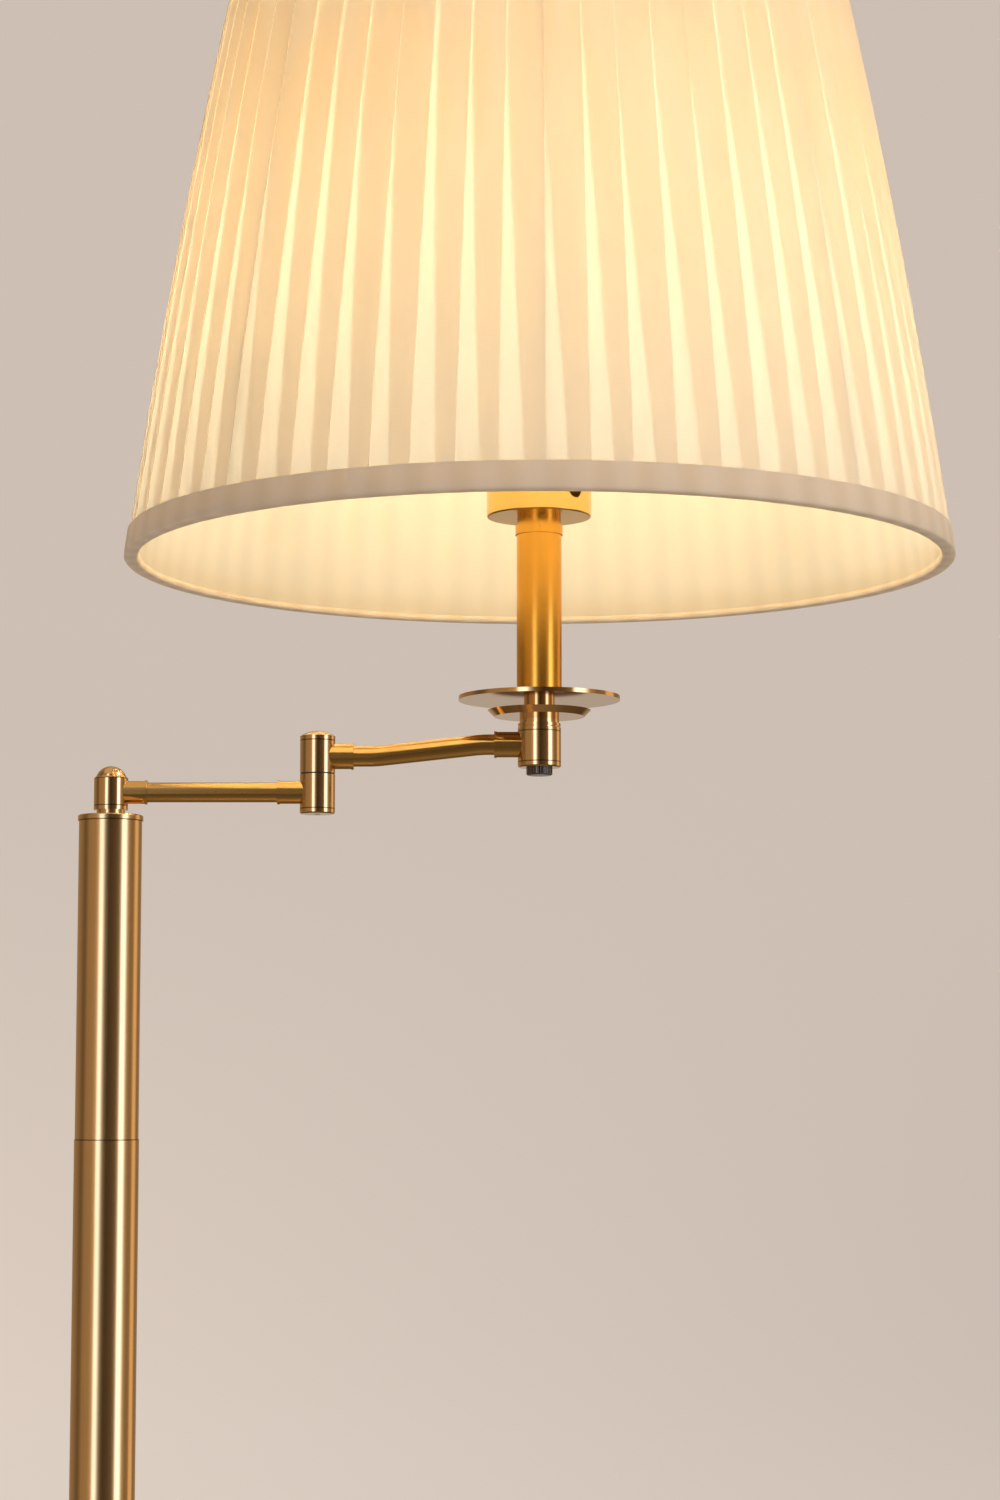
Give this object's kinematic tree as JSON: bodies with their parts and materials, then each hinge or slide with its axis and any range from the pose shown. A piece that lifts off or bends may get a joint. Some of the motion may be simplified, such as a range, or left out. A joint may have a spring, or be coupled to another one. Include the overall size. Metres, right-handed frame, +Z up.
{
  "type": "swing-arm floor lamp",
  "caption": "Swing-arm floor lamp: weighted round base, tubular column, two level arms with vertical pivots, and a candle-style head under a pleated empire shade.",
  "frame": {"origin": "on the floor, under the column's axis", "axes": "+Z up along the column; +X along both arms at rest, from the column to the lamp head"},
  "size_m": [0.5648, 0.416, 1.5627],
  "materials": {
    "satin_brass": "satin brushed brass",
    "polished_brass": "polished brass",
    "plated_steel": "zinc-plated steel",
    "dark_nickel": "black nickel, knurled",
    "iron": "painted casting",
    "felt": "pressed felt",
    "black_nylon": "moulded nylon",
    "white_thermoplastic": "moulded",
    "opal_glass": "opal",
    "white_wire": "powder coat",
    "pleated_fabric": "knife-pleated fine cotton blend",
    "lining_fabric": "smooth lining",
    "binding_tape": "folded bias tape",
    "wire_sheath": "PVC sheath"
  },
  "bodies": {
    "stand": {"base_pad": "felt", "base_weight": "iron", "base_cover": "satin_brass", "base_collar": "satin_brass", "base_washer": "plated_steel", "base_nut": "plated_steel", "cord_gland": "black_nylon", "lamp_pipe": "plated_steel", "column_lower_tube": "satin_brass", "column_upper_tube": "satin_brass", "column_coupler": "plated_steel", "column_cap": "satin_brass", "swivel_spindle": "plated_steel", "swivel_washer": "satin_brass", "swivel_spring_washer": "plated_steel", "swivel_nut": "plated_steel", "column_wire": "wire_sheath"},
    "lower_arm": {"swivel_barrel": "satin_brass", "swivel_dome": "satin_brass", "arm1_tube": "satin_brass", "arm1_inner_ferrule": "satin_brass", "arm1_outer_ferrule": "satin_brass", "arm1_wire": "wire_sheath", "elbow_lower_barrel": "satin_brass", "elbow_bottom_cap": "satin_brass", "elbow_pin": "plated_steel", "elbow_washer": "black_nylon", "elbow_spring_washer": "plated_steel", "elbow_nut": "plated_steel", "elbow_wire": "wire_sheath"},
    "upper_arm": {"elbow_upper_barrel": "satin_brass", "elbow_crown": "satin_brass", "arm2_tube": "satin_brass", "arm2_inner_ferrule": "satin_brass", "arm2_outer_ferrule": "satin_brass", "arm2_wire": "wire_sheath", "head_barrel": "satin_brass", "head_bottom_cap": "satin_brass", "head_pipe": "plated_steel", "knurled_nut": "dark_nickel", "head_collar": "polished_brass", "small_dish": "polished_brass", "neck_spacer": "polished_brass", "drip_pan": "polished_brass", "candle_tube": "polished_brass", "candle_ring": "polished_brass", "lampholder_cup": "polished_brass", "lampholder_body": "white_thermoplastic", "shade_retaining_ring": "white_thermoplastic", "bulb_cap": "plated_steel", "bulb_glass": "opal_glass", "shade_cover": "pleated_fabric", "shade_lining": "lining_fabric", "shade_bottom_binding": "binding_tape", "shade_top_binding": "binding_tape", "shade_frame": "white_wire", "shade_fitter": "white_wire", "shade_spokes": "white_wire", "head_wire": "wire_sheath"}
  },
  "joints": [
    {"name": "column_swivel", "type": "hinge", "parent": "stand", "child": "lower_arm", "pos_m": [0, 0, 1.1114], "axis": [0, 0, 1], "range_deg": [-170, 170]},
    {"name": "elbow_swivel", "type": "hinge", "parent": "lower_arm", "child": "upper_arm", "pos_m": [0.1032, 0, 1.1295], "axis": [0, 0, 1], "range_deg": [-160, 160]}
  ]
}
